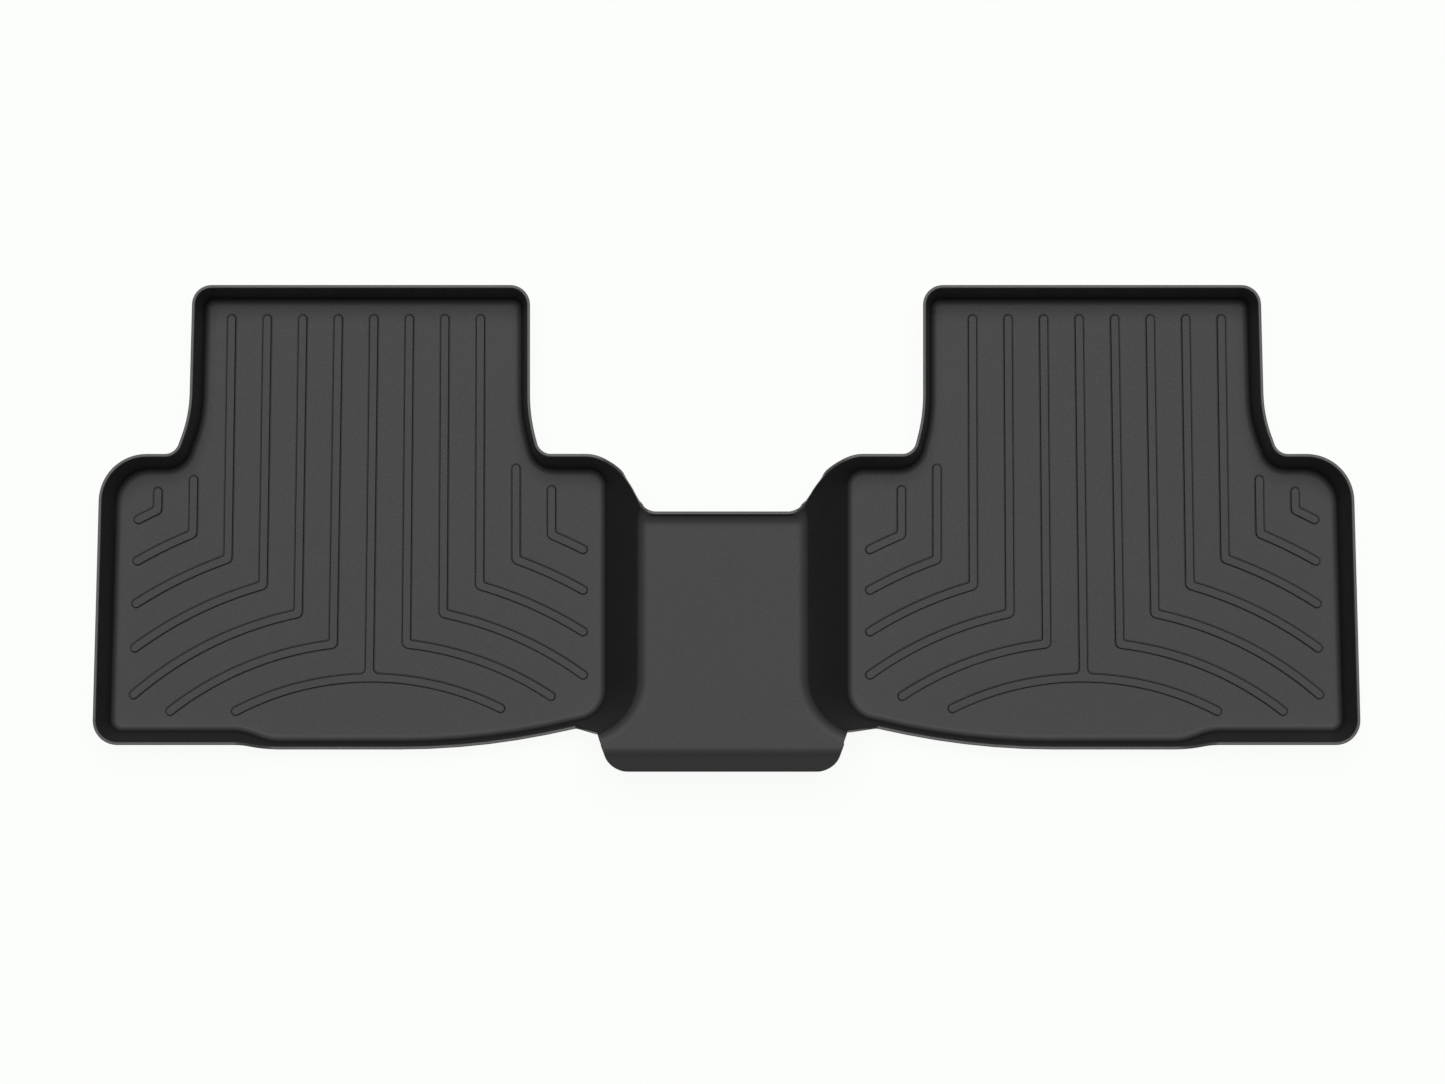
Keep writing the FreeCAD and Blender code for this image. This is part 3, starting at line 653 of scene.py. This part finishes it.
def add_floor(soup, shape, side, offset, band, kind, flip):
    """A tray's floor with its raised bars: each bar is a stack of outline rings closed by a
    flat top, and the floor is a flat sheet stretched between the bars and the walls."""
    level = shape.thick - offset
    rows = bar_rows(shape, offset)
    edge = band[0, :, :2] * (side, 1)
    loops = [edge]
    for column in range(len(SETBACKS)):
        base, normal = bar_outline(column, shape.rib_width)
        rings = np.array([np.column_stack([base + d * normal, np.full(len(base), level + z)])
                          for d, z in rows])
        loops.append(rings[0, :, :2])
        placed = rings * (side, 1, 1)
        soup.grid(placed, kind, flip != (side == LEFT), closed=True)
        top = placed[-1]
        faces = np.array(tessellate_polygon([[Vector(p) for p in top]]))
        corners = top[faces]
        turn = np.cross(corners[:, 1] - corners[:, 0], corners[:, 2] - corners[:, 0])[:, 2]
        faces = np.where((turn < 0)[:, None], faces[:, ::-1], faces)
        soup.add(top, faces, kind, flip)
    sizes = [len(loop) for loop in loops]
    starts = np.cumsum([0] + sizes[:-1])
    points = np.concatenate(loops)
    edges = np.concatenate([np.stack([s + np.arange(n), s + (np.arange(n) + 1) % n], 1)
                            for s, n in zip(starts, sizes)])
    verts, _, faces, origin, _, _ = delaunay_2d_cdt([Vector(p) for p in points], edges.tolist(),
                                                    [], 0, 1e-5)
    verts = np.array([tuple(v) for v in verts])
    faces = np.array([f for f in faces if len(f) == 3])
    owner = np.repeat(np.arange(len(loops)), sizes)
    owner = np.array([owner[o[0]] if len(o) else -1 for o in origin])
    middle = verts[faces].mean(1)
    same = (owner[faces] == owner[faces][:, :1]).all(1)
    keep = inside(middle, edge)
    for n in range(1, len(loops)):
        chosen = np.flatnonzero(same & (owner[faces][:, 0] == n))
        keep[chosen[inside(middle[chosen], loops[n])]] = False
    faces = faces[keep]
    corners = verts[faces]
    ab, ac = corners[:, 1] - corners[:, 0], corners[:, 2] - corners[:, 0]
    turn = (ab[:, 0] * ac[:, 1] - ab[:, 1] * ac[:, 0]) * side
    faces = np.where((turn < 0)[:, None], faces[:, ::-1], faces)
    sheet = np.column_stack([verts[:, 0] * side, verts[:, 1], np.full(len(verts), level)])
    soup.add(sheet, faces, kind, flip)


def add_face(soup, shape, offset, kind, flip):
    """One whole face of the sheet at this depth; flip turns it to look downwards."""
    right, left, main, flange = face_grids(shape, offset)
    soup.grid(right, kind, not flip, closed=True)
    soup.grid(left, kind, flip, closed=True)
    soup.grid(main, kind, flip)
    soup.grid(flange, kind, flip)
    add_floor(soup, shape, RIGHT, offset, right, kind, flip)
    add_floor(soup, shape, LEFT, offset, left, kind, flip)


def make_ply(shape, name, upper, lower, depths, outer):
    """One ply: its upper and lower faces and the strip of cut edge between them.  `outer`
    says which of the two faces can be seen."""
    soup = Soup(shape.lip_top)
    add_face(soup, shape, upper, 0 if outer[0] else 1, False)
    add_face(soup, shape, lower, 0 if outer[1] else 1, True)
    loops = np.array([rim_loop(shape, depth) for depth in depths])
    soup.grid(loops, 0, flip=True, closed=True)
    return soup.mesh(name)


# ---------------------------------------------------------------- materials

def add_node(tree, kind, settings=None, values=None, links=None):
    """Adds a node: its own settings, numbers for its inputs, and links into its inputs."""
    node = tree.nodes.new(kind)
    for key, value in (settings or {}).items():
        setattr(node, key, value)
    for key, value in (values or {}).items():
        node.inputs[key].default_value = value
    for key, source in (links or {}).items():
        tree.links.new(source, node.inputs[key])
    return node


def seen_directly(tree):
    """One for rays from the camera and rays let through a surface, nothing for all others."""
    rays = add_node(tree, "ShaderNodeLightPath").outputs
    return add_node(tree, "ShaderNodeMath", {"operation": "MAXIMUM"}, {},
                    {0: rays["Is Camera Ray"], 1: rays["Is Transmission Ray"]}).outputs[0]


def new_material(name):
    """An empty node material and its output."""
    material = bpy.data.materials.new(name)
    material.use_nodes = True
    tree = material.node_tree
    tree.nodes.clear()
    return material, tree, add_node(tree, "ShaderNodeOutputMaterial")


def moulded_grain(name, colour, worn, roughness, grain, depth):
    """Embossed elastomer: a fine random leather-like grain pressed by the tool, with faint
    cloudy variation of colour and gloss.  On steep faces the gloss is smoother, and the
    colour is darkened there as painted shade, down to half where they stand upright.
    grain is the grain's width in metres."""
    material, tree, output = new_material(name)
    place = add_node(tree, "ShaderNodeTexCoord").outputs["Object"]
    cells = add_node(tree, "ShaderNodeTexVoronoi", {"feature": "SMOOTH_F1"},
                     {"Scale": 1 / grain, "Smoothness": 0.6, "Randomness": 1.0}, {"Vector": place})
    fine = add_node(tree, "ShaderNodeTexNoise", {},
                    {"Scale": 1 / (grain * 0.7), "Detail": 3.0, "Roughness": 0.6}, {"Vector": place})
    mixed = add_node(tree, "ShaderNodeMath", {"operation": "MULTIPLY_ADD"}, {1: 0.6},
                     {0: cells.outputs["Distance"], 2: fine.outputs["Fac"]})
    bump = add_node(tree, "ShaderNodeBump", {}, {"Strength": 1.0, "Distance": depth},
                    {"Height": mixed.outputs[0]})
    cloud = add_node(tree, "ShaderNodeTexNoise", {}, {"Scale": 9.0, "Detail": 4.0, "Roughness": 0.55},
                     {"Vector": place})
    speck = add_node(tree, "ShaderNodeMix", {"data_type": "RGBA"}, {6: colour, 7: worn},
                     {0: fine.outputs["Fac"]})
    tint = add_node(tree, "ShaderNodeMapRange", {},
                    {"From Min": 0.3, "From Max": 0.7, "To Min": 0.96, "To Max": 1.03},
                    {"Value": cloud.outputs["Fac"]})
    facing = add_node(tree, "ShaderNodeSeparateXYZ", {}, {},
                      {0: add_node(tree, "ShaderNodeNewGeometry").outputs["Normal"]})
    level = add_node(tree, "ShaderNodeMath", {"operation": "ABSOLUTE"}, {}, {0: facing.outputs["Z"]})
    # Painted shade: the colour of steep faces is darkened down to half by how far they turn from
    # level, and the same factor lowers their roughness.
    painted_shade_and_smoothness = add_node(tree, "ShaderNodeMapRange", {},
                       {"From Min": 0.35, "From Max": 0.72, "To Min": 0.5, "To Max": 1.0},
                       {"Value": level.outputs[0]})
    # Random cloudy tint times the painted shade of steep faces.
    tint_and_painted_shade = add_node(tree, "ShaderNodeMath", {"operation": "MULTIPLY"}, {},
                    {0: tint.outputs[0], 1: painted_shade_and_smoothness.outputs[0]})
    shade = add_node(tree, "ShaderNodeVectorMath", {"operation": "SCALE"}, {},
                     {0: speck.outputs[2], "Scale": tint_and_painted_shade.outputs[0]})
    gloss = add_node(tree, "ShaderNodeMapRange", {},
                     {"From Min": 0.3, "From Max": 0.7, "To Min": roughness - 0.05,
                      "To Max": roughness + 0.05},
                     {"Value": fine.outputs["Fac"]})
    matt = add_node(tree, "ShaderNodeMath", {"operation": "MULTIPLY"}, {},
                    {0: gloss.outputs[0], 1: painted_shade_and_smoothness.outputs[0]})
    shader = add_node(tree, "ShaderNodeBsdfPrincipled", {}, {"IOR": 1.5, "Specular IOR Level": 0.52},
                      {"Base Color": shade.outputs[0], "Roughness": matt.outputs[0],
                       "Normal": bump.outputs["Normal"]})
    tree.links.new(shader.outputs[0], output.inputs[0])
    return material


def backdrop_material(name, colour):
    """Pale matt studio paper: seen as the paper's own colour, still taking a soft shadow."""
    material, tree, output = new_material(name)
    share = add_node(tree, "ShaderNodeMath", {"operation": "MULTIPLY"}, {1: 0.95},
                     {0: seen_directly(tree)})
    paper = add_node(tree, "ShaderNodeBsdfDiffuse", {}, {"Color": colour})
    glow = add_node(tree, "ShaderNodeEmission", {}, {"Color": colour, "Strength": 1.0})
    mixed = add_node(tree, "ShaderNodeMixShader", {}, {},
                     {0: share.outputs[0], 1: paper.outputs[0], 2: glow.outputs[0]})
    tree.links.new(mixed.outputs[0], output.inputs[0])
    return material


# ---------------------------------------------------------------- add-on

def length(name, description, default):
    """A length property, given in millimetres."""
    return bpy.props.FloatProperty(name=name, description=description, default=default * MM,
                                   min=0.0, precision=4, unit="LENGTH")


def colour(name, description, code):
    """A colour property, given as an sRGB hex value."""
    return bpy.props.FloatVectorProperty(name=name, description=description, size=4, subtype="COLOR",
                                         default=hex_colour(code), min=0.0, max=1.0)


class LinerSizes(bpy.types.PropertyGroup):
    """Sizes of the formed sheet."""
    skin: length("Skin", "Thickness of the top wear layer", 0.9)
    core: length("Core", "Thickness of the stiff core", 2.0)
    backing: length("Backing", "Thickness of the grip backing", 0.7)
    rim: length("Rim", "Height of the trimmed rim above the carpet", 54.0)
    entry_rim: length("Entry rim", "Height of the low rear rim that feet pass over", 31.0)
    bridge_top: length("Bridge", "Height of the bridge's upper face", 103.6)
    lip_rise: length("Lip", "Height of the front lip above the bridge", 7.0)
    lip_bend: length("Lip bend", "Radius of the sweep up into the lip", 18.0)
    edge_round: length("Edge rounding", "Radius of the trimmed edge's corners", 1.0)
    bridge_round: length("Bridge rounding", "Radius along the bridge's long edges", 14.0)
    foot_round: length("Foot rounding", "Radius between floor and wall", 8.0)
    rib_width: length("Bar width", "Width of a raised bar", 9.5)
    rib_rise: length("Bar rise", "Height of a raised bar", 2.3)


class LinerColours(bpy.types.PropertyGroup):
    """Colours of the plies and the backdrop."""
    skin: colour("Skin", "Top wear layer", "#272727")
    skin_worn: colour("Skin, lighter", "Crests of the top wear layer's grain", "#303030")
    core: colour("Core", "Stiff core", "#3C3C3C")
    core_worn: colour("Core, lighter", "Lighter specks in the stiff core", "#464646")
    backing: colour("Backing", "Grip backing", "#343434")
    backing_worn: colour("Backing, lighter", "Crests of the grip backing's grain", "#3E3E3E")
    paper: colour("Paper", "Studio backdrop", "#FCFEFB")


# Depths in the sheet at which the rounded cut edge has a row of points.
SKIN_EDGE = [0.05, 0.17, 0.36, 0.6]
CORE_EDGE = [1.1, 1.8, 2.5, 2.75]
BACKING_EDGE = [3.2, 3.38, 3.5, 3.57]


def show(mesh, node, material):
    """Puts a finished mesh in the scene in place of a CAD node."""
    piece = bpy.data.objects.new(mesh.name, mesh)
    bpy.context.scene.collection.objects.link(piece)
    mesh.materials.append(material)
    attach(piece, "root")
    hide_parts(node)


class LINER_OT_skin(bpy.types.Operator):
    """Makes the textured top layer"""
    bl_idname = "liner.skin"
    bl_label = "Top wear layer"

    def execute(self, context):
        shape = Shape(context.scene.liner_sizes)
        colours = context.scene.liner_colours
        depth = shape.plies[0]
        edge = [0.0] + SKIN_EDGE + [depth]
        mesh = make_ply(shape, "textured_top_layer", 0.0, depth, edge, (True, False))
        # Thermoplastic elastomer, embossed: dark, matt, with a pressed leather-like grain.
        material = moulded_grain("embossed_elastomer", tuple(colours.skin), tuple(colours.skin_worn),
                                 0.64, 1.5 * MM, 0.10 * MM)
        show(mesh, "top_wear_layer", material)
        return {"FINISHED"}


class LINER_OT_core(bpy.types.Operator):
    """Makes the stiff core, seen only at the cut edge"""
    bl_idname = "liner.core"
    bl_label = "Stiff core"

    def execute(self, context):
        shape = Shape(context.scene.liner_sizes)
        colours = context.scene.liner_colours
        upper = shape.plies[0]
        lower = upper + shape.plies[1]
        edge = [upper] + CORE_EDGE + [lower]
        mesh = make_ply(shape, "stiff_core_sheet", upper, lower, edge, (False, False))
        # Polyolefin sheet, sawn: slightly lighter and smoother where the cutter passed.
        material = moulded_grain("cut_polyolefin", tuple(colours.core), tuple(colours.core_worn),
                                 0.5, 0.9 * MM, 0.03 * MM)
        show(mesh, "core_sheet", material)
        return {"FINISHED"}


class LINER_OT_backing(bpy.types.Operator):
    """Makes the soft backing that grips the carpet"""
    bl_idname = "liner.backing"
    bl_label = "Grip backing"

    def execute(self, context):
        shape = Shape(context.scene.liner_sizes)
        colours = context.scene.liner_colours
        upper = shape.plies[0] + shape.plies[1]
        lower = shape.thick
        edge = [upper] + BACKING_EDGE + [lower]
        mesh = make_ply(shape, "grip_backing_layer", upper, lower, edge, (False, True))
        # Soft elastomer, foamed: duller than the top, with a coarser tacky grain.
        material = moulded_grain("soft_grip_elastomer", tuple(colours.backing),
                                 tuple(colours.backing_worn), 0.8, 2.2 * MM, 0.14 * MM)
        show(mesh, "grip_backing", material)
        return {"FINISHED"}


class LINER_OT_stage(bpy.types.Operator):
    """Makes the floor, the lamp, the world and the camera"""
    bl_idname = "liner.stage"
    bl_label = "Stage"

    def execute(self, context):
        scene = context.scene
        paper = tuple(scene.liner_colours.paper)
        size, level = 12.0, -0.0005
        mesh = bpy.data.meshes.new("studio_floor")
        signs = (-1, -1), (1, -1), (1, 1), (-1, 1)
        corners = [(x * size, y * size, level) for x, y in signs]
        mesh.from_pydata(corners, [], [(0, 1, 2, 3)])
        floor = bpy.data.objects.new("studio_floor", mesh)
        scene.collection.objects.link(floor)
        mesh.materials.append(backdrop_material("studio_paper", paper))

        world = bpy.data.worlds.new("studio")
        world.use_nodes = True
        tree = world.node_tree
        tree.nodes.clear()
        output = add_node(tree, "ShaderNodeOutputWorld")
        dim = add_node(tree, "ShaderNodeBackground", {}, {"Color": (1, 1, 1, 1), "Strength": 0.01})
        bright = add_node(tree, "ShaderNodeBackground", {}, {"Color": paper, "Strength": 1.0})
        mixed = add_node(tree, "ShaderNodeMixShader", {}, {},
                         {0: seen_directly(tree), 1: dim.outputs[0], 2: bright.outputs[0]})
        tree.links.new(mixed.outputs[0], output.inputs[0])
        scene.world = world

        # A very wide soft light, above and a little in front of the liner.
        lamp = bpy.data.lights.new("overhead", "SUN")
        lamp.angle, lamp.energy = math.radians(44.0), 3.0
        obj = bpy.data.objects.new("overhead", lamp)
        obj.location = (0.0, 1.75, 6.2)
        obj.rotation_euler = (-obj.location).to_track_quat("-Z", "Y").to_euler()
        scene.collection.objects.link(obj)

        camera = bpy.data.cameras.new("camera")
        camera.sensor_width, camera.lens = 36.0, 134.3
        camera.clip_end = 100
        obj = bpy.data.objects.new("camera", camera)
        obj.location = (-0.0043, -0.0152, 5.8)
        scene.collection.objects.link(obj)
        scene.camera = obj
        scene.view_settings.view_transform = "Standard"
        return {"FINISHED"}


class LINER_PT_panel(bpy.types.Panel):
    """The liner's sizes, colours and makers"""
    bl_idname = "LINER_PT_panel"
    bl_label = "Floor liner"
    bl_space_type = "VIEW_3D"
    bl_region_type = "UI"
    bl_category = "Liner"

    def draw(self, context):
        for group in (context.scene.liner_sizes, context.scene.liner_colours):
            for name in group.__annotations__:
                self.layout.prop(group, name)
        for maker in OPERATORS:
            self.layout.operator(maker.bl_idname)


OPERATORS = (LINER_OT_skin, LINER_OT_core, LINER_OT_backing, LINER_OT_stage)
CLASSES = (LinerSizes, LinerColours) + OPERATORS + (LINER_PT_panel,)


def register():
    for item in CLASSES:
        bpy.utils.register_class(item)
    bpy.types.Scene.liner_sizes = bpy.props.PointerProperty(type=LinerSizes)
    bpy.types.Scene.liner_colours = bpy.props.PointerProperty(type=LinerColours)


def unregister():
    del bpy.types.Scene.liner_colours
    del bpy.types.Scene.liner_sizes
    for item in reversed(CLASSES):
        bpy.utils.unregister_class(item)


def main():
    register()
    bpy.ops.liner.skin()
    bpy.ops.liner.core()
    bpy.ops.liner.backing()
    bpy.ops.liner.stage()
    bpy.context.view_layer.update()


if __name__ == "__main__":
    main()
